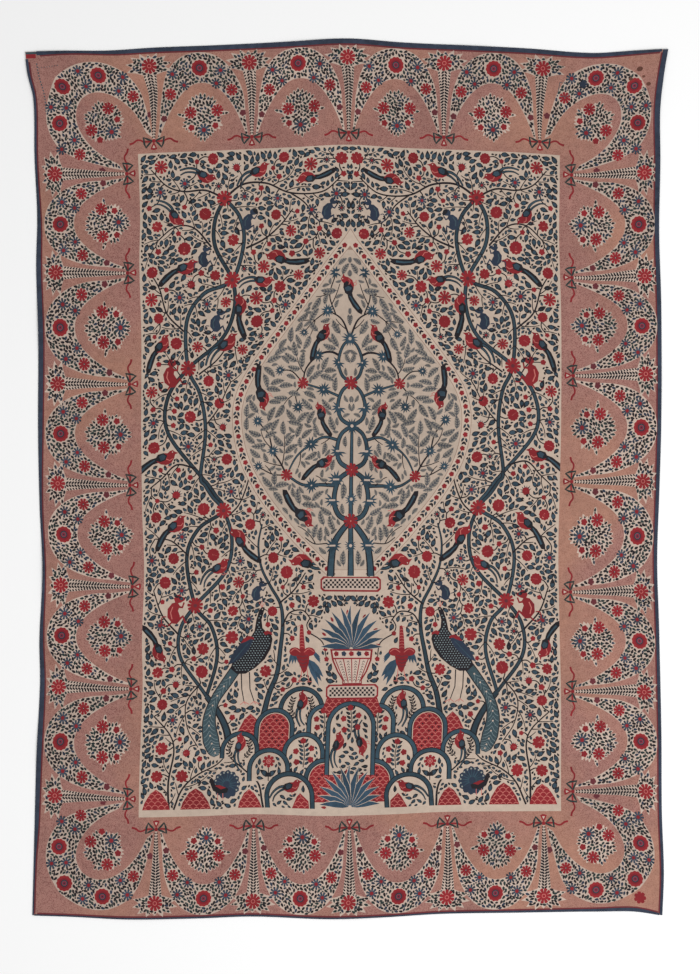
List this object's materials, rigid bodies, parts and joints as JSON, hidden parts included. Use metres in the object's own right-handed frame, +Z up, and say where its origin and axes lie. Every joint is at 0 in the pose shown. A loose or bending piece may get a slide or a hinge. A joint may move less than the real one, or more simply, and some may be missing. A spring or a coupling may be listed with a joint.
{
  "type": "kalamkari panel",
  "caption": "Large painted and dyed cotton panel with a narrow blue edge binding, lying flat and face up with slight swells and a gently waved outline.",
  "frame": {"origin": "on the surface that the panel lies on, under the middle of its bounding box", "axes": "+X along the width, to the right seen from the front of the design; +Y along the length, towards the top of the design; +Z up, out of the face"},
  "size_m": [2.6358, 3.612, 0.0083],
  "materials": {
    "dyed_cotton": "matt plain-woven cotton, painted and dyed in red, pink, indigo and beige",
    "blue_binding": "matt dark indigo cotton strip, folded over the edge"
  },
  "bodies": {
    "root": {"cloth": "dyed_cotton", "binding_top": "blue_binding", "binding_bottom": "blue_binding", "binding_left": "blue_binding", "binding_right": "blue_binding"}
  },
  "joints": []
}
